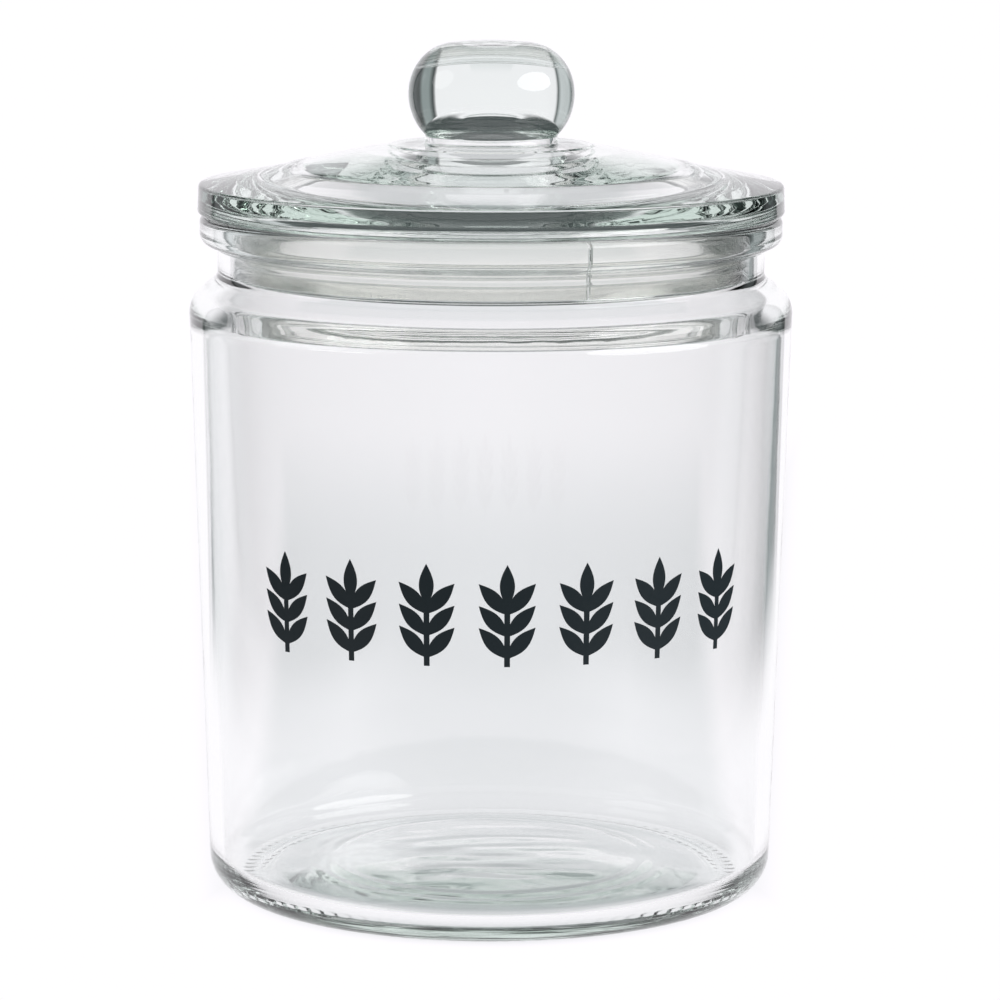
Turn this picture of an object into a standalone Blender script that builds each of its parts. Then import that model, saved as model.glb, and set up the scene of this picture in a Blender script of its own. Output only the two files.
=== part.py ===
"""Lidded glass canister: a pressed glass jar, a glass lid with a round knob, the split
plastic ring that seals the lid's plug in the neck, and a row of printed wheat ears.

Units are metres, +Z is up, and the origin is on the surface that the jar stands on, on the
jar's axis. The front of the jar, with the printed row, faces -Y. Outlines are half sections:
each corner is (radius, height, fillet radius), and turning the outline about Z makes the piece.
"""

import math

import bmesh
import bpy
from mathutils import Vector
from mathutils.geometry import delaunay_2d_cdt

# Jar
HEEL_RADIUS = 0.0704  # where the wall's line meets the ground
SHOULDER_RADIUS = 0.0751  # where the wall's line meets the shoulder's
SHOULDER_HEIGHT = 0.1496
SHOULDER_FILLET = 0.0075
NECK_RADIUS = 0.0679
NECK_HEIGHT = 0.1550  # foot of the neck
MOUTH_RADIUS = 0.0723  # the bead round the mouth
MOUTH_BOTTOM = 0.1634
MOUTH_TOP = 0.1702
MOUTH_BORE = 0.0643
WALL = 0.0036
INNER_SHOULDER_HEIGHT = 0.1456  # the glass is thicker in the shoulder
INNER_SHOULDER_FILLET = 0.0080
INNER_NECK_HEIGHT = 0.1525
FLOOR_TOP = 0.0110  # middle of the domed floor inside
FLOOR_EDGE = 0.0054
FLOOR_RADIUS = 0.0580
INNER_HEEL_FILLET = 0.0060
PUSH_UP = 0.0044  # middle of the domed hollow under the base
PUSH_UP_EDGE = 0.0013
PUSH_UP_RADIUS = 0.0534
CONTACT_RADIUS = 0.0573  # inner edge of the ring that the jar stands on
HEEL_FILLET = 0.0092

# Lid
LID_RADIUS = 0.0729
LID_SEAT = 0.1705  # underside of the rim, just clear of the mouth
RIM_TOP = 0.1777
LID_SLOPE = ((0.0330, 0.1860), (0.0500, 0.1824), (0.0580, 0.1803))  # top, crown to rim
CROWN_RADIUS = 0.0250
CROWN_HEIGHT = 0.1874  # flat round the foot of the knob
RIM_TOP_FILLET = 0.0009
RIM_LOW_FILLET = 0.0010
DIMPLE_RADIUS = 0.0146  # hollow inside the knob
DIMPLE_FOOT = 0.1880
DIMPLE_TOP = 0.1980
DIMPLE_POWER = 0.8  # below 1 is squarer than an ellipse
BELL_RADIUS = 0.0236  # flare of the underside below the dimple
BELL_FOOT = 0.1803
BELL_NECK = 0.0160
BELL_HEIGHT = 0.1848
CEILING_RADIUS = 0.0480
CEILING_EDGE = 0.1769  # underside where the flare starts
PLUG_ROOF = 0.1710  # underside at the plug's bore
PLUG_FILLET = 0.0040
PLUG_RADIUS = 0.0609
PLUG_BORE = 0.0572
PLUG_BOTTOM = 0.1528
BEAD_RADIUS = 0.0627  # the bead that keeps the seal on the plug
BEAD_TOP = 0.1548

# Knob: an ellipse in section, set on a short neck
KNOB_CENTRE_RADIUS = 0.0090
KNOB_CENTRE_HEIGHT = 0.2000
KNOB_REACH = 0.0116
KNOB_RISE = 0.0125
KNOB_DROP = 0.0133
KNOB_NECK = 0.0164
KNOB_TOP = 0.2131

# Seal
SEAL_BORE = 0.0613
SEAL_RADIUS = 0.0625
SEAL_BOTTOM = 0.1552
SEAL_TOP = 0.1680
FIN_RADIUS = 0.0638
FIN_HEIGHTS = (0.1592, 0.1615, 0.1638)
FIN_THICKNESS = 0.0008
SPLIT_WIDTH = 0.0007
SPLIT_AZIMUTH = math.radians(21.5)  # from the front towards +X

# Printed row
EAR_COUNT = 7
EAR_PITCH = math.radians(15.1)
ROW_AZIMUTH = math.radians(3.3)  # middle of the row
ROW_HEIGHT = 0.0818  # middle of the row
PRINT_GAP = 0.0003
PRINT_THICKNESS = 0.0003
EAR_HEIGHT = 0.0247
STEM_WIDTH = 0.0014
GRAIN_LENGTH = 0.0105
GRAIN_WIDTH = 0.0036
GRAIN_PAIRS = 3
GRAIN_SPACING = 0.0053
GRAIN_LEAN = math.radians(43)
GRAIN_OFFSET = 0.0004  # from the stem's middle line to a grain's foot
GRAIN_SIDES = 4  # straight runs along each side of a grain

DOME_ROWS = 4
DIMPLE_ROWS = 6
SEGMENTS = 56  # round the axis
ARC_STEP = math.radians(40)
WELD = 1e-6


def clear_scene():
    """Remove every object of the open file."""
    for item in list(bpy.data.objects):
        bpy.data.objects.remove(item, do_unlink=True)


def plain_material(name, colour, roughness, transmission=0.0):
    """Principled material with the piece's colour and finish."""
    material = bpy.data.materials.new(name)
    material.use_nodes = True
    shader = material.node_tree.nodes["Principled BSDF"]
    shader.inputs["Base Color"].default_value = (*colour, 1.0)
    shader.inputs["Roughness"].default_value = roughness
    shader.inputs["Metallic"].default_value = 0.0
    shader.inputs["IOR"].default_value = 1.5
    shader.inputs["Transmission Weight"].default_value = transmission
    return material


def corner_arc(before, corner, after, fillet):
    """Points that round one corner of an outline to its fillet radius."""
    inward = (before - corner).normalized()
    outward = (after - corner).normalized()
    half_angle = inward.angle(outward) / 2
    start = corner + inward * fillet / math.tan(half_angle)
    end = corner + outward * fillet / math.tan(half_angle)
    centre = corner + (inward + outward).normalized() * fillet / math.sin(half_angle)
    turn = math.pi - 2 * half_angle
    steps = max(1, math.ceil(turn / ARC_STEP))
    start_arm = start - centre
    end_arm = end - centre
    points = []
    for step in range(steps + 1):
        part = step / steps
        swing = math.sin((1 - part) * turn) * start_arm + math.sin(part * turn) * end_arm
        points.append(centre + swing / math.sin(turn))
    return points


def rounded(corners):
    """Outline through corners (radius, height, fillet), with every fillet drawn as an arc."""
    spots = [Vector(corner[:2]) for corner in corners]
    points = []
    for index, (radius, height, fillet) in enumerate(corners):
        if fillet == 0:
            points.append(Vector((radius, height)))
        else:
            points += corner_arc(spots[index - 1], spots[index], spots[index + 1], fillet)
    return points


def finish_object(name, bm, material):
    """Turn a bmesh into a named object with smooth shading."""
    bmesh.ops.remove_doubles(bm, verts=bm.verts, dist=WELD)
    bmesh.ops.recalc_face_normals(bm, faces=bm.faces)
    mesh = bpy.data.meshes.new(name)
    bm.to_mesh(mesh)
    bm.free()
    mesh.materials.append(material)
    mesh.shade_smooth()
    mesh.set_sharp_from_angle(angle=math.radians(35))
    piece = bpy.data.objects.new(name, mesh)
    bpy.context.scene.collection.objects.link(piece)
    return piece


def turned(name, outline, material):
    """Solid of revolution from an outline that starts and ends on the axis."""
    bm = bmesh.new()
    verts = [bm.verts.new((point.x, 0, point.y)) for point in outline]
    edges = [bm.edges.new(pair) for pair in zip(verts, verts[1:])]
    bmesh.ops.spin(
        bm, geom=verts + edges, cent=(0, 0, 0), axis=(0, 0, 1),
        angle=math.tau, steps=SEGMENTS, use_merge=True,
    )
    return finish_object(name, bm, material)


def wall_radius(height):
    """Outer radius of the jar's tapered wall."""
    return HEEL_RADIUS + (SHOULDER_RADIUS - HEEL_RADIUS) * height / SHOULDER_HEIGHT


def dome(radius, middle, edge):
    """Half section of a shallow dome, from its middle out."""
    parts = [row / DOME_ROWS for row in range(DOME_ROWS + 1)]
    return [Vector((radius * part, edge + (middle - edge) * (1 - part ** 2))) for part in parts]


def make_jar(glass):
    """Jar with a thick domed base, tapered wall, short neck and beaded mouth."""
    inner_heel = wall_radius(FLOOR_EDGE) - WALL
    floor_slope = 2 * (FLOOR_TOP - FLOOR_EDGE) / FLOOR_RADIUS
    heel_low = FLOOR_EDGE - (inner_heel - FLOOR_RADIUS) * floor_slope / 2
    wall = rounded([
        (PUSH_UP_RADIUS, PUSH_UP_EDGE, 0),
        (CONTACT_RADIUS, 0, 0.0012),
        (HEEL_RADIUS, 0, HEEL_FILLET),
        (SHOULDER_RADIUS, SHOULDER_HEIGHT, SHOULDER_FILLET),
        (NECK_RADIUS, NECK_HEIGHT, 0.0025),
        (NECK_RADIUS, MOUTH_BOTTOM - 0.0009, 0.0010),
        (MOUTH_RADIUS, MOUTH_BOTTOM, 0.0028),
        (MOUTH_RADIUS, MOUTH_TOP, 0.0019),
        (MOUTH_BORE, MOUTH_TOP, 0.0012),
        (MOUTH_BORE, INNER_NECK_HEIGHT, 0.0030),
        (SHOULDER_RADIUS - WALL, INNER_SHOULDER_HEIGHT, INNER_SHOULDER_FILLET),
        (inner_heel, heel_low, INNER_HEEL_FILLET),
        (FLOOR_RADIUS, FLOOR_EDGE, 0),
    ])
    underside = dome(PUSH_UP_RADIUS, PUSH_UP, PUSH_UP_EDGE)
    floor = dome(FLOOR_RADIUS, FLOOR_TOP, FLOOR_EDGE)
    return turned("jar_body", underside[:-1] + wall + floor[-2::-1], glass)


def knob_outline():
    """Knob's section from the top of the axis down to its neck."""
    lowest = math.acos((KNOB_NECK - KNOB_CENTRE_RADIUS) / KNOB_REACH)
    steps = 9
    points = [Vector((0, KNOB_TOP))]
    for step in range(steps + 1):
        angle = math.pi / 2 - (math.pi / 2 + lowest) * step / steps
        rise = KNOB_RISE if angle > 0 else KNOB_DROP
        radius = KNOB_CENTRE_RADIUS + KNOB_REACH * math.cos(angle)
        points.append(Vector((radius, KNOB_CENTRE_HEIGHT + rise * math.sin(angle))))
    return points


def dimple_outline():
    """Hollow inside the knob, from just above its foot to its top on the axis."""
    points = []
    for row in range(1, DIMPLE_ROWS):
        angle = math.pi / 2 * row / DIMPLE_ROWS
        rise = (DIMPLE_TOP - DIMPLE_FOOT) * math.sin(angle) ** DIMPLE_POWER
        points.append(Vector((DIMPLE_RADIUS * math.cos(angle) ** DIMPLE_POWER, DIMPLE_FOOT + rise)))
    points.append(Vector((0, DIMPLE_TOP)))
    return points


def make_lid(glass):
    """Lid, knob and plug as the one piece of glass that they are pressed in."""
    plate = rounded([
        (KNOB_NECK, KNOB_CENTRE_HEIGHT, 0),
        (KNOB_NECK, CROWN_HEIGHT, 0.0008),
        (CROWN_RADIUS, CROWN_HEIGHT, 0.0010),
        *[(radius, height, 0) for radius, height in LID_SLOPE],
        (LID_RADIUS - 0.0003, RIM_TOP, RIM_TOP_FILLET),
        (LID_RADIUS, LID_SEAT, RIM_LOW_FILLET),
        (PLUG_RADIUS, LID_SEAT, 0.0008),
        (PLUG_RADIUS, BEAD_TOP, 0.0004),
        (BEAD_RADIUS, BEAD_TOP, 0.0006),
        (BEAD_RADIUS - 0.0006, PLUG_BOTTOM, 0.0006),
        (PLUG_BORE, PLUG_BOTTOM, 0.0010),
        (PLUG_BORE, PLUG_ROOF, PLUG_FILLET),
        (CEILING_RADIUS, CEILING_EDGE, 0.0100),
        (BELL_RADIUS, BELL_FOOT, 0.0020),
        (BELL_NECK, BELL_HEIGHT, 0.0030),
        (DIMPLE_RADIUS, DIMPLE_FOOT, 0),
    ])
    return turned("lid", knob_outline() + plate[1:] + dimple_outline(), glass)


def seal_outline():
    """Section of the seal: a flat band with thin fins on its outer side."""
    half_fin = FIN_THICKNESS / 2
    corners = [(SEAL_BORE, SEAL_TOP), (SEAL_BORE, SEAL_BOTTOM), (SEAL_RADIUS, SEAL_BOTTOM)]
    for height in FIN_HEIGHTS:
        corners.append((SEAL_RADIUS, height - half_fin * 1.4))
        corners.append((FIN_RADIUS, height - half_fin * 0.7))
        corners.append((FIN_RADIUS, height + half_fin * 0.7))
        corners.append((SEAL_RADIUS, height + half_fin * 1.4))
    corners.append((SEAL_RADIUS, SEAL_TOP))
    return corners


def make_seal(plastic):
    """Split ring on the lid's plug, with its two ends a short gap apart."""
    half_gap = SPLIT_WIDTH / 2 / SEAL_RADIUS
    start = SPLIT_AZIMUTH - math.pi / 2 + half_gap
    bm = bmesh.new()
    verts = []
    for radius, height in seal_outline():
        verts.append(bm.verts.new((radius * math.cos(start), radius * math.sin(start), height)))
    section = bm.faces.new(verts)
    bmesh.ops.spin(
        bm, geom=verts + list(section.edges) + [section], cent=(0, 0, 0), axis=(0, 0, 1),
        angle=math.tau - 2 * half_gap, steps=SEGMENTS, use_merge=False,
    )
    return finish_object("seal_ring", bm, plastic)


def grain_outline(foot, lean):
    """Pointed oval that starts at its foot and leans from upright by an angle."""
    along = Vector((math.sin(lean), math.cos(lean)))
    across = Vector((along.y, -along.x))
    points = []
    for side in (1, -1):
        for step in range(GRAIN_SIDES):
            part = step / GRAIN_SIDES if side == 1 else 1 - step / GRAIN_SIDES
            swell = side * GRAIN_WIDTH / 2 * math.sin(math.pi * part)
            points.append(foot + along * GRAIN_LENGTH * part + across * swell)
    return points


def ear_outlines():
    """Overlapping outlines of one wheat ear, as (distance round the wall, height)."""
    top_foot = EAR_HEIGHT / 2 - GRAIN_LENGTH
    half_stem = STEM_WIDTH / 2
    outlines = [[
        Vector((-half_stem, -EAR_HEIGHT / 2)),
        Vector((half_stem, -EAR_HEIGHT / 2)),
        Vector((half_stem, top_foot + 0.0015)),
        Vector((-half_stem, top_foot + 0.0015)),
    ]]
    outlines.append(grain_outline(Vector((0, top_foot)), 0))
    for pair in range(GRAIN_PAIRS):
        height = top_foot - 0.0018 - GRAIN_SPACING * pair
        for side in (1, -1):
            foot = Vector((-side * GRAIN_OFFSET, height))
            outlines.append(grain_outline(foot, side * GRAIN_LEAN))
    return outlines


def merged_triangles(outlines):
    """Points and triangles of the union of overlapping outlines."""
    points = []
    faces = []
    for outline in outlines:
        faces.append(list(range(len(points), len(points) + len(outline))))
        points += outline
    inside_only = 1
    found = delaunay_2d_cdt(points, [], faces, inside_only, WELD)
    return found[0], found[2]


def on_wall(distance, height, azimuth, offset):
    """Point a little off the jar's wall, from a distance round it and a height."""
    z = ROW_HEIGHT + height
    angle = azimuth + distance / wall_radius(ROW_HEIGHT)
    radius = wall_radius(z) + offset
    return (radius * math.sin(angle), -radius * math.cos(angle), z)


def make_ear(number, ink):
    """One printed wheat ear, a thin plate that follows the wall."""
    azimuth = ROW_AZIMUTH + EAR_PITCH * (number - (EAR_COUNT + 1) / 2)
    points, triangles = merged_triangles(ear_outlines())
    bm = bmesh.new()
    verts = [bm.verts.new(on_wall(x, y, azimuth, PRINT_GAP)) for x, y in points]
    faces = [bm.faces.new([verts[index] for index in triangle]) for triangle in triangles]
    raised = bmesh.ops.extrude_face_region(bm, geom=faces, use_keep_orig=True)["geom"]
    for vert in (item for item in raised if isinstance(item, bmesh.types.BMVert)):
        outward = Vector((vert.co.x, vert.co.y, 0)).normalized()
        vert.co += outward * PRINT_THICKNESS
    return finish_object(f"printed_ear_{number}", bm, ink)


def main():
    clear_scene()
    glass = plain_material("clear_glass", (0.93, 0.96, 0.95), 0.02, transmission=1.0)
    plastic = plain_material("seal_plastic", (0.86, 0.86, 0.83), 0.35, transmission=0.4)
    ink = plain_material("print_ink", (0.008, 0.018, 0.022), 0.25)
    make_jar(glass)
    make_lid(glass)
    make_seal(plastic)
    for number in range(1, EAR_COUNT + 1):
        make_ear(number, ink)


main()
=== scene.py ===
"""Looks of the lidded glass canister: fine turned glass, a translucent seal, the printed row,
and a white studio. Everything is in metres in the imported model's frame: +Z up, the jar's axis
on Z, the printed front towards -Y.
"""

import math

import bmesh
import bpy
from mathutils import Matrix, Vector, noise
from mathutils.geometry import delaunay_2d_cdt


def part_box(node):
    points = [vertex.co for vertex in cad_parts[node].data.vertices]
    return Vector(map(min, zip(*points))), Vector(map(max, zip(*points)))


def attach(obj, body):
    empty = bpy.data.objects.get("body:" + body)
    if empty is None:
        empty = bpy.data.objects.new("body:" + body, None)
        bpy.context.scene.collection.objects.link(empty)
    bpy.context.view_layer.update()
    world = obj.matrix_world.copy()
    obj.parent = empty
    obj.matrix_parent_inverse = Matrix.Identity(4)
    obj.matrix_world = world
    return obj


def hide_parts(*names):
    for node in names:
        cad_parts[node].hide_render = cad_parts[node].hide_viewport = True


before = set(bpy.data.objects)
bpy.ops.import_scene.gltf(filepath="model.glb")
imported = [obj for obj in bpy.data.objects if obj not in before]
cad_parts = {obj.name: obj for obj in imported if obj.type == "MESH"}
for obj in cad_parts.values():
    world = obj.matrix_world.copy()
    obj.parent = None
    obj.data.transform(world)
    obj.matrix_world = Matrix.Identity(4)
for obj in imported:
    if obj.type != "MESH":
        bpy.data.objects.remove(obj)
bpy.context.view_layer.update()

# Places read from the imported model
JAR_LOW, JAR_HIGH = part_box("jar_body")
LID_LOW, LID_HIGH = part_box("lid")
SEAL_LOW, SEAL_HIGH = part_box("seal_ring")
PRINT_LOW, PRINT_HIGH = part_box("printed_ear_4")
JAR_WIDEST = JAR_HIGH.x
MOUTH_TOP = JAR_HIGH.z
LID_RADIUS = LID_HIGH.x
KNOB_TOP = LID_HIGH.z
PLUG_BOTTOM = LID_LOW.z

# Jar, half section
HEEL_RADIUS = JAR_WIDEST - 0.0046
SHOULDER_RADIUS = JAR_WIDEST + 0.0001
SHOULDER_HEIGHT = 0.1496
SHOULDER_FILLET = 0.0075
NECK_RADIUS = 0.0679
NECK_HEIGHT = 0.1550
INNER_SHOULDER_HEIGHT = 0.1456
INNER_SHOULDER_FILLET = 0.0080
INNER_NECK_HEIGHT = 0.1525
MOUTH_RADIUS = 0.0723
MOUTH_BOTTOM = 0.1634
MOUTH_BORE = 0.0643
WALL = 0.0036
FLOOR_TOP = 0.0110
FLOOR_EDGE = 0.0054
FLOOR_RADIUS = 0.0580
INNER_HEEL_FILLET = 0.0060
PUSH_UP = 0.0044
PUSH_UP_EDGE = 0.0013
PUSH_UP_RADIUS = 0.0534
CONTACT_RADIUS = 0.0573
HEEL_FILLET = 0.0092
BASE_ROW = 0.0011

# Marks of the mould under the base: (radius, depth, width) of two rings, and the uneven middle
MOULD_RINGS = ((0.0387, 0.00022, 0.0006), (0.0437, 0.00008, 0.0005))
MARKED_RADIUS = 0.0300
MARK_DEPTH = 0.00016
MARK_SCALE_X = 45
MARK_SCALE_Y = 150

# Slow unevenness of the pressed glass: its height in the base and the lid, and waves per metre
BASE_WAVE = 0.00010
LID_WAVE = 0.00003
WAVE_SCALE = 60

# Seeds that make each uneven surface its own
UNDERSIDE_WAVES = 3
FLOOR_WAVES = 8
LID_WAVES = 5
UNDERSIDE_MARKS = 20
FLOOR_MARKS = 40

# Ridges round the heel
RIDGES = 96
RIDGE_SEGMENTS = 8
RIDGE_HEIGHT = 0.00022
RIDGE_INNER = 0.0590
RIDGE_OUTER = 0.0634
FOOT_HEIGHT = 0.004

SEGMENTS = RIDGES * 2
RIDGE_ROWS_SEGMENTS = RIDGES * RIDGE_SEGMENTS
ARC_STEP = math.radians(7)
ROW_SPACING = 0.003

# Lid, half section
LID_SEAT = 0.1705
RIM_TOP = 0.1777
CROWN_RADIUS = 0.0250
CROWN_HEIGHT = 0.1874
DIMPLE_RADIUS = 0.0146
DIMPLE_TOP = 0.1980
DIMPLE_FOOT = 0.1880
DIMPLE_POWER = 0.8
BELL_RADIUS = 0.0236
BELL_FOOT = 0.1803
BELL_NECK = 0.0160
BELL_HEIGHT = 0.1848
RIM_TOP_FILLET = 0.0009
RIM_LOW_FILLET = 0.0010
PLUG_ROOF = 0.1710
PLUG_FILLET = 0.0040
CEILING_RADIUS = 0.0480
CEILING_EDGE = 0.1769
PLUG_RADIUS = 0.0609
PLUG_BORE = 0.0572
BEAD_RADIUS = 0.0627
BEAD_TOP = 0.1548

# Top of the plate between crown and rim, as corners (radius, height, fillet)
PLATE_TOP = (
    (0.0330, 0.1860, 0.0080),
    (0.0500, 0.1824, 0.0120),
    (0.0530, 0.1814, 0.0040),
    (0.0580, 0.1803, 0.0080),
)

# Knob
KNOB_CENTRE_RADIUS = 0.0090
KNOB_CENTRE_HEIGHT = 0.2000
KNOB_REACH = 0.0116
KNOB_RISE = 0.0125
KNOB_DROP = 0.0133
KNOB_NECK = 0.0164
KNOB_TOP_ROWS = 5
KNOB_SIDE_ROWS = 44
DIMPLE_ROWS = 24

# Seal
SEAL_BORE = 0.0613
SEAL_RADIUS = 0.0625
FIN_RADIUS = SEAL_HIGH.x
FIN_HEIGHTS = (0.1592, 0.1615, 0.1638)
FIN_THICKNESS = 0.0008
FIN_STEPS = 6
FIN_TIP_SHARE = 0.7
FIN_ROOT_SHARE = 1.4
FIN_FOOT_SHARE = 2.2
FIN_FLARE = 0.0002
SEAL_EDGE = 0.0003
SPLIT_WIDTH = 0.0007
SPLIT_AZIMUTH = math.radians(21.5)

# Printed row
EAR_COUNT = 7
EAR_PITCH = math.radians(15.1)
ROW_AZIMUTH = math.radians(3.3)
ROW_HEIGHT = (PRINT_LOW.z + PRINT_HIGH.z) / 2
EAR_HEIGHT = PRINT_HIGH.z - PRINT_LOW.z
PRINT_GAP = 0.00004
PRINT_THICKNESS = 0.00010
STEM_WIDTH = 0.0014
GRAIN_LENGTH = 0.0105
GRAIN_WIDTH = 0.0036
GRAIN_PAIRS = 3
GRAIN_SPACING = 0.0053
GRAIN_LEAN = math.radians(43)
GRAIN_OFFSET = 0.0004
GRAIN_SIDES = 14

# Materials
GLASS_IOR = 1.52
GLASS_TINT = (0.68, 0.80, 0.73)
GLASS_DENSITY = 9.0
GLASS_WAVINESS = 0.00001
SEAL_COLOUR = (0.98, 0.98, 0.955)
SEAL_IOR = 1.2
SEAL_CLEAR = 1.0
SEAL_ROUGH = 0.13
SEAL_GRAIN = 0.00002
INK_COLOUR = (0.006, 0.016, 0.022)
INK_IOR = 1.5
INK_GRAIN = 0.000006
INK_ROUGH_LOW = 0.3
INK_ROUGH_HIGH = 0.5

# Studio: brightness by compass direction, in degrees from behind the jar, right positive
GLOW_STOPS = (
    (-180, 0.30), (-110, 0.12), (-70, 0.13), (-60, 0.70), (-46, 0.70), (-42, 0.12), (-40, 1.0),
    (31, 1.0), (33, 0.02), (38, 0.35), (45, 0.35), (50, 0.02), (60, 0.02), (70, 0.12), (100, 0.15),
    (140, 0.25), (180, 0.30),
)
OVERHEAD_START = math.radians(17)
OVERHEAD_FULL = math.radians(25)
OVERHEAD_GLOW = 0.08
BRIGHT_TINT = (1.02, 1.0, 1.035)
DIM_TINT = (0.82, 1.0, 1.0)

# Table: a painted shadow, its glow dimmer in a round patch under the jar, and a paler painted shade
# behind it
TABLE_RADIUS = 9.0
TABLE_DROP = 0.0003
UNDER_NEAR = 0.048
UNDER_FAR = 0.068
UNDER_PAINTED_SHADOW = 0.52
BEHIND_PAINTED_SHADE = 0.87

# Patches of painted light and shade on the table: half width at the jar's axis, its growth per metre
# away from the camera, the width of its soft sides, then where its near and far ends start to fade and
# where they are gone
PAINTED_LIGHT_STRIP = (0.17, 0.0, 0.16, -0.13, -0.29, 8.0, 9.0)
PAINTED_SHADE_WEDGE = (0.060, 0.066, 0.016, 0.02, -0.03, 0.45, 0.85)

# Softboxes: (azimuth, elevation, width, height, radiance), azimuth as above
SOFTBOXES = ((112, 29, 1.35, 0.85, 3.2), (-100, 30, 0.8, 0.8, 1.0))
SOFTBOX_DISTANCE = 1.4

# Camera
SENSOR_WIDTH = 36
CLIP_END = 50
LENS = 176.6
PITCH = math.radians(8.97)
CAMERA_DISTANCE = 1.2293
CAMERA_AIM = Vector((0.0024, 0, 0.0981))
CAMERA_ROLL = math.radians(0.17)


def corner_arc(before, corner, after, fillet):
    """Points that round one corner of an outline to its fillet radius."""
    inward = (before - corner).normalized()
    outward = (after - corner).normalized()
    half_angle = inward.angle(outward) / 2
    start = corner + inward * fillet / math.tan(half_angle)
    end = corner + outward * fillet / math.tan(half_angle)
    centre = corner + (inward + outward).normalized() * fillet / math.sin(half_angle)
    turn = math.pi - 2 * half_angle
    steps = max(2, math.ceil(turn / ARC_STEP))
    points = []
    for step in range(steps + 1):
        part = step / steps
        arm = math.sin((1 - part) * turn) * (start - centre) + math.sin(part * turn) * (end - centre)
        points.append(centre + arm / math.sin(turn))
    return points


def rounded(corners):
    """Outline through corners (radius, height, fillet), with every fillet drawn as an arc."""
    spots = [Vector(corner[:2]) for corner in corners]
    points = []
    for index, (radius, height, fillet) in enumerate(corners):
        if fillet == 0:
            points.append(Vector((radius, height)))
        else:
            points += corner_arc(spots[index - 1], spots[index], spots[index + 1], fillet)
    return points


def with_rows(points):
    """The same outline with long straight stretches cut into rows, closest near their ends."""
    filled = [points[0]]
    for start, end in zip(points, points[1:]):
        length = (end - start).length
        cuts = math.ceil(length / ROW_SPACING) + 2 if length > ROW_SPACING / 3 else 1
        for cut in range(1, cuts + 1):
            filled.append(start.lerp(end, (1 - math.cos(math.pi * cut / cuts)) / 2))
    return filled


def turn_rows(rows, place):
    """Mesh turned from rows (radius, height, segments); place gives each point's position."""
    bm = bmesh.new()
    rings = []
    for radius, height, count in rows:
        if radius < 1e-7:
            rings.append([bm.verts.new(place(0, height, 0))])
        else:
            angles = [math.tau * index / count for index in range(count)]
            rings.append([bm.verts.new(place(radius, height, angle)) for angle in angles])
    for lower, upper in zip(rings, rings[1:]):
        join_rings(bm, lower, upper)
    bmesh.ops.recalc_face_normals(bm, faces=bm.faces)
    return bm


def join_rings(bm, lower, upper):
    """Faces between two rings of one turned mesh, whose counts are equal or a multiple."""
    few, many = sorted((lower, upper), key=len)
    share = len(many) // len(few)
    for index in range(len(few)):
        following = (index + 1) % len(few)
        if len(few) == 1:
            for spoke in range(len(many)):
                bm.faces.new((few[0], many[spoke], many[(spoke + 1) % len(many)]))
        else:
            side = [many[(index * share + step) % len(many)] for step in range(share, -1, -1)]
            bm.faces.new([few[index], few[following], *side])


def mesh_piece(name, bm, material):
    """Turn a bmesh into a named smooth object."""
    mesh = bpy.data.meshes.new(name)
    bm.to_mesh(mesh)
    bm.free()
    mesh.materials.append(material)
    mesh.shade_smooth()
    piece = bpy.data.objects.new(name, mesh)
    bpy.context.scene.collection.objects.link(piece)
    return piece


def wall_radius(height):
    """Outer radius of the jar's tapered wall."""
    return HEEL_RADIUS + (SHOULDER_RADIUS - HEEL_RADIUS) * height / SHOULDER_HEIGHT


def dome(radius, middle, edge):
    """Half section of a shallow dome, from its middle out."""
    rows = math.ceil(radius / BASE_ROW)
    parts = [row / rows for row in range(rows + 1)]
    return [Vector((radius * part, edge + (middle - edge) * (1 - part ** 2))) for part in parts]


def jar_outline():
    """Jar's half section, from the middle of the base out, up, and back down inside."""
    inner_heel = wall_radius(FLOOR_EDGE) - WALL
    floor_slope = 2 * (FLOOR_TOP - FLOOR_EDGE) / FLOOR_RADIUS
    heel_low = FLOOR_EDGE - (inner_heel - FLOOR_RADIUS) * floor_slope / 2
    outer = rounded([
        (PUSH_UP_RADIUS, PUSH_UP_EDGE, 0),
        (PUSH_UP_RADIUS + 0.0012, PUSH_UP_EDGE - 0.0003, 0.0008),
        (CONTACT_RADIUS, RIDGE_HEIGHT, 0.0012),
        (HEEL_RADIUS, RIDGE_HEIGHT, HEEL_FILLET),
        (SHOULDER_RADIUS, SHOULDER_HEIGHT, SHOULDER_FILLET),
        (NECK_RADIUS, NECK_HEIGHT, 0.0025),
        (NECK_RADIUS, MOUTH_BOTTOM - 0.0009, 0.0010),
        (MOUTH_RADIUS, MOUTH_BOTTOM, 0.0028),
        (MOUTH_RADIUS, MOUTH_TOP, 0.0019),
        (MOUTH_BORE, MOUTH_TOP, 0.0012),
        (MOUTH_BORE, INNER_NECK_HEIGHT, 0.0030),
        (SHOULDER_RADIUS - WALL, INNER_SHOULDER_HEIGHT, INNER_SHOULDER_FILLET),
        (inner_heel, heel_low, INNER_HEEL_FILLET),
        (FLOOR_RADIUS, FLOOR_EDGE, 0),
    ])
    underside = dome(PUSH_UP_RADIUS, PUSH_UP, PUSH_UP_EDGE)
    floor = dome(FLOOR_RADIUS, FLOOR_TOP, FLOOR_EDGE)
    return underside[:-1] + with_rows(outer) + floor[-2::-1]


def wobble(radius, height, angle, seed):
    """Slow unevenness of pressed glass, from -1 to 1."""
    spot = Vector((radius * math.cos(angle), radius * math.sin(angle), height)) * WAVE_SCALE
    return noise.noise(spot + Vector((seed, 0, 0)))


def marks(radius, angle, seed):
    """Streaks in the middle of the base, where the glass was cut and chilled first."""
    fade = max(0, 1 - (radius / MARKED_RADIUS) ** 4)
    across = radius * math.cos(angle) * MARK_SCALE_X
    along = radius * math.sin(angle) * MARK_SCALE_Y
    spot = Vector((across, along, seed))
    return fade * MARK_DEPTH * noise.noise(spot)


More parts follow.
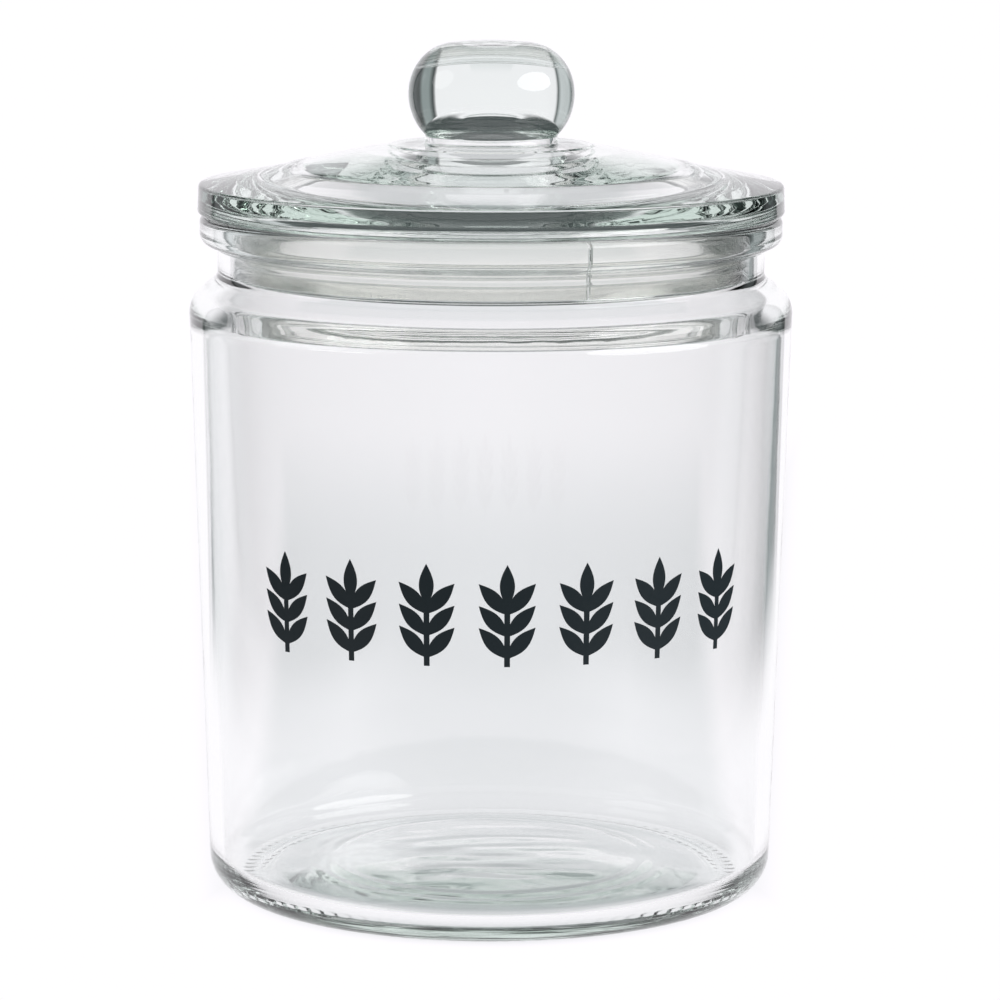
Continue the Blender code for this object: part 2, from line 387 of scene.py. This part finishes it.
def place_jar(radius, height, angle):
    """Point of the jar, with the ridges under its heel and a slight waviness in its base."""
    z = height
    on_foot = RIDGE_INNER < radius < RIDGE_OUTER and height < FOOT_HEIGHT
    if on_foot:
        across = (radius - RIDGE_INNER) / (RIDGE_OUTER - RIDGE_INNER)
        ridge = (0.5 + 0.5 * math.cos(RIDGES * angle)) ** 0.7
        z -= RIDGE_HEIGHT * ridge * math.sin(math.pi * across) ** 0.5
    on_base = radius < FLOOR_RADIUS and height < FLOOR_TOP + 0.001
    underneath = radius < PUSH_UP_RADIUS and height < PUSH_UP + (FLOOR_EDGE - PUSH_UP) * 0.1
    if on_base:
        inside = min(1, (FLOOR_RADIUS - radius) / 0.01)
        waves = UNDERSIDE_WAVES if underneath else FLOOR_WAVES
        z += inside * BASE_WAVE * wobble(radius, height, angle, waves)
        z += marks(radius, angle, UNDERSIDE_MARKS if underneath else FLOOR_MARKS)
    if underneath:
        for ring_radius, depth, width in MOULD_RINGS:
            z -= depth * math.exp(-((radius - ring_radius) / width) ** 2)
    return (radius * math.cos(angle), radius * math.sin(angle), z)


def make_jar(material):
    """Jar, with finer segments where the ridges are."""
    rows = []
    for point in jar_outline():
        ridged = RIDGE_INNER - 0.0004 < point.x < RIDGE_OUTER + 0.0004 and point.y < FOOT_HEIGHT
        rows.append((point.x, point.y, RIDGE_ROWS_SEGMENTS if ridged else SEGMENTS))
    return mesh_piece("jar_glass_body", turn_rows(rows, place_jar), material)


def knob_outline():
    """Knob's section from the top of the axis down to its neck."""
    lowest = math.acos((KNOB_NECK - KNOB_CENTRE_RADIUS) / KNOB_REACH)
    crown = KNOB_CENTRE_HEIGHT + KNOB_RISE
    points = []
    for step in range(KNOB_TOP_ROWS):
        part = step / KNOB_TOP_ROWS
        radius = KNOB_CENTRE_RADIUS * step / KNOB_TOP_ROWS
        points.append(Vector((radius, KNOB_TOP - (KNOB_TOP - crown) * part ** 2)))
    for step in range(KNOB_SIDE_ROWS + 1):
        angle = math.pi / 2 - (math.pi / 2 + lowest) * step / KNOB_SIDE_ROWS
        rise = KNOB_RISE if angle > 0 else KNOB_DROP
        radius = KNOB_CENTRE_RADIUS + KNOB_REACH * math.cos(angle)
        points.append(Vector((radius, KNOB_CENTRE_HEIGHT + rise * math.sin(angle))))
    return points


def lid_outline():
    """Lid's half section from the top of the knob out to the rim and back underneath."""
    plate = rounded([
        (KNOB_NECK, KNOB_CENTRE_HEIGHT, 0),
        (KNOB_NECK, CROWN_HEIGHT, 0.0010),
        (CROWN_RADIUS, CROWN_HEIGHT + 0.0001, 0.0008),
        (CROWN_RADIUS + 0.0008, CROWN_HEIGHT - 0.0003, 0.0010),
        *PLATE_TOP,
        (LID_RADIUS - 0.0003, RIM_TOP, RIM_TOP_FILLET),
        (LID_RADIUS, LID_SEAT, RIM_LOW_FILLET),
        (PLUG_RADIUS, LID_SEAT, 0.0008),
        (PLUG_RADIUS, BEAD_TOP, 0.0004),
        (BEAD_RADIUS, BEAD_TOP, 0.0006),
        (BEAD_RADIUS - 0.0006, PLUG_BOTTOM, 0.0006),
        (PLUG_BORE, PLUG_BOTTOM, 0.0010),
        (PLUG_BORE, PLUG_ROOF, PLUG_FILLET),
        (CEILING_RADIUS, CEILING_EDGE, 0.0100),
        (BELL_RADIUS, BELL_FOOT, 0.0020),
        (BELL_NECK, BELL_HEIGHT, 0.0030),
        (DIMPLE_RADIUS, DIMPLE_FOOT, 0),
    ])
    return with_rows(knob_outline() + plate[1:]) + dimple_outline()


def dimple_outline():
    """Hollow under the knob, from its foot up to its top on the axis."""
    points = []
    for step in range(DIMPLE_ROWS + 1):
        angle = math.pi / 2 * step / DIMPLE_ROWS
        rise = (DIMPLE_TOP - DIMPLE_FOOT) * math.sin(angle) ** DIMPLE_POWER
        radius = DIMPLE_RADIUS * max(0, math.cos(angle)) ** DIMPLE_POWER
        points.append(Vector((radius, DIMPLE_FOOT + rise)))
    points[-1].x = 0
    return points[1:]


def place_lid(radius, height, angle):
    """Point of the lid, with a slight waviness in its pressed plate."""
    z = height
    if radius < LID_RADIUS - 0.004 and LID_SEAT + 0.001 < height < CROWN_HEIGHT:
        z += LID_WAVE * wobble(radius, height, angle, LID_WAVES)
    return (radius * math.cos(angle), radius * math.sin(angle), z)


def make_lid(material):
    """Lid, turned from its half section."""
    rows = [(point.x, point.y, SEGMENTS) for point in lid_outline()]
    return mesh_piece("lid_glass_plate", turn_rows(rows, place_lid), material)


def seal_outline():
    """Section of the seal, a flat band with thin round-edged fins."""
    half_fin = FIN_THICKNESS / 2
    tip = half_fin * FIN_TIP_SHARE
    points = [
        (SEAL_BORE, SEAL_HIGH.z - SEAL_EDGE),
        (SEAL_BORE, SEAL_LOW.z + SEAL_EDGE),
        (SEAL_BORE + SEAL_EDGE, SEAL_LOW.z),
        (SEAL_RADIUS - SEAL_EDGE, SEAL_LOW.z),
        (SEAL_RADIUS, SEAL_LOW.z + SEAL_EDGE),
    ]
    for height in FIN_HEIGHTS:
        points.append((SEAL_RADIUS, height - half_fin * FIN_FOOT_SHARE))
        points.append((SEAL_RADIUS + FIN_FLARE, height - half_fin * FIN_ROOT_SHARE))
        for step in range(FIN_STEPS + 1):
            angle = -math.pi / 2 + math.pi * step / FIN_STEPS
            radius = FIN_RADIUS - tip + tip * math.cos(angle)
            points.append((radius, height + tip * math.sin(angle)))
        points.append((SEAL_RADIUS + FIN_FLARE, height + half_fin * FIN_ROOT_SHARE))
        points.append((SEAL_RADIUS, height + half_fin * FIN_FOOT_SHARE))
    points.append((SEAL_RADIUS, SEAL_HIGH.z - SEAL_EDGE))
    points.append((SEAL_RADIUS - SEAL_EDGE, SEAL_HIGH.z))
    points.append((SEAL_BORE + SEAL_EDGE, SEAL_HIGH.z))
    return points


def make_seal(material):
    """Split ring, with flat ends either side of its gap."""
    half_gap = SPLIT_WIDTH / 2 / SEAL_RADIUS
    start = SPLIT_AZIMUTH - math.pi / 2 + half_gap
    sweep = math.tau - 2 * half_gap
    bm = bmesh.new()
    sections = []
    for step in range(SEGMENTS + 1):
        angle = start + sweep * step / SEGMENTS
        section = []
        for radius, height in seal_outline():
            section.append(bm.verts.new((radius * math.cos(angle), radius * math.sin(angle), height)))
        sections.append(section)
    for before, after in zip(sections, sections[1:]):
        for index in range(len(before)):
            following = (index + 1) % len(before)
            bm.faces.new((before[index], before[following], after[following], after[index]))
    bm.faces.new(sections[0])
    bm.faces.new(list(reversed(sections[-1])))
    bmesh.ops.recalc_face_normals(bm, faces=bm.faces)
    piece = mesh_piece("seal_band", bm, material)
    piece.data.set_sharp_from_angle(angle=math.radians(50))
    return piece


def grain_outline(foot, lean):
    """Pointed oval that starts at its foot and leans from upright by an angle."""
    along = Vector((math.sin(lean), math.cos(lean)))
    across = Vector((along.y, -along.x))
    points = []
    for side in (1, -1):
        for step in range(GRAIN_SIDES):
            part = step / GRAIN_SIDES if side == 1 else 1 - step / GRAIN_SIDES
            swell = side * GRAIN_WIDTH / 2 * math.sin(math.pi * part)
            points.append(foot + along * GRAIN_LENGTH * part + across * swell)
    return points


def ear_outlines():
    """Overlapping outlines of one wheat ear, as (distance round the wall, height)."""
    top_foot = EAR_HEIGHT / 2 - GRAIN_LENGTH
    half_stem = STEM_WIDTH / 2
    outlines = [[
        Vector((-half_stem, -EAR_HEIGHT / 2)),
        Vector((half_stem, -EAR_HEIGHT / 2)),
        Vector((half_stem, top_foot + 0.0015)),
        Vector((-half_stem, top_foot + 0.0015)),
    ]]
    outlines.append(grain_outline(Vector((0, top_foot)), 0))
    for pair in range(GRAIN_PAIRS):
        height = top_foot - 0.0018 - GRAIN_SPACING * pair
        for side in (1, -1):
            foot = Vector((-side * GRAIN_OFFSET, height))
            outlines.append(grain_outline(foot, side * GRAIN_LEAN))
    return outlines


def merged_triangles(outlines):
    """Points and triangles of the union of overlapping outlines."""
    points = []
    faces = []
    for outline in outlines:
        faces.append(list(range(len(points), len(points) + len(outline))))
        points += outline
    inside_only = 1
    found = delaunay_2d_cdt(points, [], faces, inside_only, 1e-6)
    return found[0], found[2]


def on_wall(distance, height, azimuth, offset):
    """Point a little off the jar's wall, from a distance round it and a height."""
    z = ROW_HEIGHT + height
    angle = azimuth + distance / wall_radius(ROW_HEIGHT)
    radius = wall_radius(z) + offset
    return (radius * math.sin(angle), -radius * math.cos(angle), z)


def make_ear(number, material):
    """One printed wheat ear, a thin film that lies on the wall."""
    azimuth = ROW_AZIMUTH + EAR_PITCH * (number - (EAR_COUNT + 1) / 2)
    points, triangles = merged_triangles(ear_outlines())
    bm = bmesh.new()
    verts = [bm.verts.new(on_wall(x, y, azimuth, PRINT_GAP)) for x, y in points]
    faces = [bm.faces.new([verts[index] for index in triangle]) for triangle in triangles]
    raised = bmesh.ops.extrude_face_region(bm, geom=faces, use_keep_orig=True)["geom"]
    for vert in (item for item in raised if isinstance(item, bmesh.types.BMVert)):
        outward = Vector((vert.co.x, vert.co.y, 0)).normalized()
        vert.co += outward * PRINT_THICKNESS
    bmesh.ops.recalc_face_normals(bm, faces=bm.faces)
    piece = mesh_piece(f"print_ear_{number}", bm, material)
    piece.data.set_sharp_from_angle(angle=math.radians(40))
    return piece


def new_material(name):
    """Empty node material and its Principled shader, joined to the output."""
    material = bpy.data.materials.new(name)
    material.use_nodes = True
    nodes = material.node_tree.nodes
    return material, nodes, material.node_tree.links, nodes["Principled BSDF"]


def add_bump(nodes, links, shader, scale, distance):
    """Fine unevenness of a surface, from noise in the object's own space."""
    place = nodes.new("ShaderNodeTexCoord")
    grain = nodes.new("ShaderNodeTexNoise")
    grain.inputs["Scale"].default_value = scale
    grain.inputs["Detail"].default_value = 2.0
    bump = nodes.new("ShaderNodeBump")
    bump.inputs["Strength"].default_value = 1.0
    bump.inputs["Distance"].default_value = distance
    links.new(place.outputs["Object"], grain.inputs["Vector"])
    links.new(grain.outputs["Fac"], bump.inputs["Height"])
    links.new(bump.outputs["Normal"], shader.inputs["Normal"])
    return grain


def glass_material(name):
    """Clear soda glass: faint green along a long path, with a slightly uneven surface."""
    material, nodes, links, shader = new_material(name)
    shader.inputs["Base Color"].default_value = (1, 1, 1, 1)
    shader.inputs["Roughness"].default_value = 0.0
    shader.inputs["IOR"].default_value = GLASS_IOR
    shader.inputs["Transmission Weight"].default_value = 1.0
    add_bump(nodes, links, shader, scale=90, distance=GLASS_WAVINESS)
    absorb = nodes.new("ShaderNodeVolumeAbsorption")
    absorb.inputs["Color"].default_value = (*GLASS_TINT, 1)
    absorb.inputs["Density"].default_value = GLASS_DENSITY
    links.new(absorb.outputs["Volume"], nodes["Material Output"].inputs["Volume"])
    return material


def seal_material():
    """Milky, translucent plastic, with an index lower than a real one's, chosen for its look."""
    material, nodes, links, shader = new_material("milky_seal")
    shader.inputs["Base Color"].default_value = (*SEAL_COLOUR, 1)
    shader.inputs["IOR"].default_value = SEAL_IOR
    shader.inputs["Transmission Weight"].default_value = SEAL_CLEAR
    shader.inputs["Roughness"].default_value = SEAL_ROUGH
    add_bump(nodes, links, shader, scale=700, distance=SEAL_GRAIN)
    return material


def ink_material():
    """Dark teal-black print, glossy with a slight unevenness."""
    material, nodes, links, shader = new_material("teal_black_print")
    shader.inputs["Base Color"].default_value = (*INK_COLOUR, 1)
    shader.inputs["IOR"].default_value = INK_IOR
    grain = add_bump(nodes, links, shader, scale=900, distance=INK_GRAIN)
    spread = nodes.new("ShaderNodeMapRange")
    spread.inputs["To Min"].default_value = INK_ROUGH_LOW
    spread.inputs["To Max"].default_value = INK_ROUGH_HIGH
    links.new(grain.outputs["Fac"], spread.inputs["Value"])
    links.new(spread.outputs["Result"], shader.inputs["Roughness"])
    return material


def direction_glow(nodes, links, vector):
    """The studio's brightness by compass direction, from a direction or a place."""
    split = nodes.new("ShaderNodeSeparateXYZ")
    turn = nodes.new("ShaderNodeMath")
    turn.operation = "ARCTAN2"
    spread = nodes.new("ShaderNodeMapRange")
    spread.inputs["From Min"].default_value = -math.pi
    spread.inputs["From Max"].default_value = math.pi
    links.new(vector, split.inputs["Vector"])
    links.new(split.outputs["X"], turn.inputs[0])
    links.new(split.outputs["Y"], turn.inputs[1])
    links.new(turn.outputs["Value"], spread.inputs["Value"])
    ramp = grey_ramp(nodes, [(0.5 + degrees / 360, value) for degrees, value in GLOW_STOPS])
    links.new(spread.outputs["Result"], ramp.inputs["Fac"])
    return ramp.outputs["Color"]


def grey_ramp(nodes, stops):
    """Colour ramp of tinted greys from (position, value) pairs."""
    ramp = nodes.new("ShaderNodeValToRGB")
    while len(ramp.color_ramp.elements) < len(stops):
        ramp.color_ramp.elements.new(0.5)
    for element, (position, value) in zip(ramp.color_ramp.elements, stops):
        element.position = position
        element.color = (*studio_tint(value), 1)
    return ramp


def studio_tint(value):
    """Studio light of a brightness: faintly violet where it is bright, teal where it is dim."""
    share = min(1, value)
    return [value * (share * bright + (1 - share) * dim) for bright, dim in zip(BRIGHT_TINT, DIM_TINT)]


def grey_mix(nodes, links, factor, near, far):
    """Mix of two tinted greys by a factor socket."""
    mix = nodes.new("ShaderNodeMix")
    mix.data_type = "RGBA"
    links.new(factor, mix.inputs["Factor"])
    for name, value in (("A", near), ("B", far)):
        socket = next(item for item in mix.inputs if item.name == name and item.type == "RGBA")
        if isinstance(value, float):
            socket.default_value = (*studio_tint(value), 1)
        else:
            links.new(value, socket)
    return next(item for item in mix.outputs if item.type == "RGBA")


def outside_patch(nodes, links, vector, patch):
    """0 on a patch of table, 1 beside it, in front of it and beyond it."""
    half_width, growth, side_fade, near, near_end, far, far_end = patch
    split = nodes.new("ShaderNodeSeparateXYZ")
    links.new(vector, split.inputs["Vector"])
    across = nodes.new("ShaderNodeMath")
    across.operation = "ABSOLUTE"
    links.new(split.outputs["X"], across.inputs[0])
    narrowed = nodes.new("ShaderNodeMath")
    narrowed.operation = "MULTIPLY_ADD"
    narrowed.inputs[1].default_value = -growth
    links.new(split.outputs["Y"], narrowed.inputs[0])
    links.new(across.outputs["Value"], narrowed.inputs[2])
    beside = soft_step(nodes, links, narrowed.outputs["Value"], half_width, half_width + side_fade)
    ahead = soft_step(nodes, links, split.outputs["Y"], near, near_end)
    beyond = soft_step(nodes, links, split.outputs["Y"], far, far_end)
    return larger(nodes, links, beside, larger(nodes, links, ahead, beyond))


def soft_step(nodes, links, value, start, end):
    """0 before start, 1 past end, with a smooth change between."""
    step = nodes.new("ShaderNodeMapRange")
    step.interpolation_type = "SMOOTHSTEP"
    step.inputs["From Min"].default_value = start
    step.inputs["From Max"].default_value = end
    links.new(value, step.inputs["Value"])
    return step.outputs["Result"]


def larger(nodes, links, first, second):
    """The larger of two values."""
    choice = nodes.new("ShaderNodeMath")
    choice.operation = "MAXIMUM"
    links.new(first, choice.inputs[0])
    links.new(second, choice.inputs[1])
    return choice.outputs["Value"]


def make_floor():
    """White table that glows with painted light and shade: a lit strip, a paler painted shade just
    behind the jar, and a darker painted shadow under it and painted shade beside it.
    """
    bm = bmesh.new()
    bmesh.ops.create_circle(bm, cap_ends=True, segments=96, radius=TABLE_RADIUS)
    mesh = bpy.data.meshes.new("floor")
    bm.to_mesh(mesh)
    bm.free()
    floor = bpy.data.objects.new("floor", mesh)
    floor.location.z = -TABLE_DROP
    bpy.context.scene.collection.objects.link(floor)
    material, nodes, links, shader = new_material("table_painted_light")
    spot = nodes.new("ShaderNodeTexCoord").outputs["Object"]
    # Beside the lit strip the table glows with the studio's brightness by direction from the jar:
    # painted light and shade on the floor
    side_glow = direction_glow(nodes, links, spot)
    # Painted pool of light: a strip of table glowing evenly white from just before the jar to far behind
    # it
    off_painted_light = outside_patch(nodes, links, spot, PAINTED_LIGHT_STRIP)
    # Painted shade: a wedge of dimmer glow on the table just behind the jar
    off_painted_shade = outside_patch(nodes, links, spot, PAINTED_SHADE_WEDGE)
    distance = nodes.new("ShaderNodeVectorMath")
    distance.operation = "LENGTH"
    links.new(spot, distance.inputs[0])
    # Painted shadow: the table's glow drops to a dim round patch under the jar
    off_painted_shadow = soft_step(nodes, links, distance.outputs["Value"], UNDER_NEAR, UNDER_FAR)
    behind = grey_mix(nodes, links, off_painted_shade, BEHIND_PAINTED_SHADE, 1.0)
    table = grey_mix(nodes, links, off_painted_shadow, UNDER_PAINTED_SHADOW, behind)
    glow = grey_mix(nodes, links, off_painted_light, table, side_glow)
    shader.inputs["Base Color"].default_value = (0, 0, 0, 1)
    shader.inputs["Specular IOR Level"].default_value = 0
    shader.inputs["Emission Strength"].default_value = 1.0
    links.new(glow, shader.inputs["Emission Color"])
    mesh.materials.append(material)


def make_world():
    """Studio: a white backdrop behind with a narrow panel on each side, and dim elsewhere."""
    world = bpy.data.worlds.new("studio")
    bpy.context.scene.world = world
    world.use_nodes = True
    nodes = world.node_tree.nodes
    links = world.node_tree.links
    direction = nodes.new("ShaderNodeTexCoord").outputs["Generated"]
    side_glow = direction_glow(nodes, links, direction)
    split = nodes.new("ShaderNodeSeparateXYZ")
    links.new(direction, split.inputs["Vector"])
    start = math.sin(OVERHEAD_START)
    overhead = soft_step(nodes, links, split.outputs["Z"], start, math.sin(OVERHEAD_FULL))
    glow = grey_mix(nodes, links, overhead, side_glow, OVERHEAD_GLOW)
    links.new(glow, nodes["Background"].inputs["Color"])
    nodes["Background"].inputs["Strength"].default_value = 1.0


def make_softboxes():
    """Large soft lights high at the right and, weaker, at the left."""
    for number, (azimuth, elevation, width, height, radiance) in enumerate(SOFTBOXES, 1):
        turn = math.radians(azimuth)
        lift = math.radians(elevation)
        away = Vector((math.sin(turn) * math.cos(lift), math.cos(turn) * math.cos(lift), math.sin(lift)))
        data = bpy.data.lights.new(f"softbox_{number}", "AREA")
        data.shape = "ELLIPSE"
        data.size = width
        data.size_y = height
        data.energy = radiance * math.pi * width * height * math.pi / 4
        box = bpy.data.objects.new(f"softbox_{number}", data)
        box.location = CAMERA_AIM + away * SOFTBOX_DISTANCE
        box.rotation_euler = away.to_track_quat("Z", "Y").to_euler()
        bpy.context.scene.collection.objects.link(box)


def make_camera():
    """Camera a little higher than the knob, looking slightly down at the front."""
    data = bpy.data.cameras.new("camera")
    data.lens = LENS
    data.sensor_width = SENSOR_WIDTH
    data.clip_end = CLIP_END
    camera = bpy.data.objects.new("camera", data)
    bpy.context.scene.collection.objects.link(camera)
    back = Vector((0, -math.cos(PITCH), math.sin(PITCH)))
    camera.location = CAMERA_AIM + back * CAMERA_DISTANCE
    tilt = Matrix.Rotation(math.pi / 2 - PITCH, 3, "X") @ Matrix.Rotation(CAMERA_ROLL, 3, "Z")
    camera.rotation_euler = tilt.to_euler()
    bpy.context.scene.camera = camera


def set_rendering():
    """Plain colours, and enough bounces for light to leave thick glass."""
    scene = bpy.context.scene
    scene.view_settings.view_transform = "Standard"
    scene.view_settings.look = "None"
    scene.cycles.max_bounces = 32
    scene.cycles.transmission_bounces = 32
    scene.cycles.glossy_bounces = 16
    scene.cycles.diffuse_bounces = 4


def main():
    """Build the studio, then each piece on its body in place of its CAD node."""
    set_rendering()
    make_camera()
    make_floor()
    make_world()
    make_softboxes()
    jar = make_jar(glass_material("jar_clear_glass"))
    lid = make_lid(glass_material("lid_clear_glass"))
    seal = make_seal(seal_material())
    ink = ink_material()
    pieces = [(jar, "jar", "jar_body", "jar_glass"), (lid, "lid", "lid", "lid_glass")]
    pieces.append((seal, "seal", "seal_ring", "seal_plastic"))
    for number in range(1, EAR_COUNT + 1):
        pieces.append((make_ear(number, ink), "jar", f"printed_ear_{number}", "print_ink"))
    for piece, body, node, slot in pieces:
        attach(piece, body)
        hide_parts(node)


main()
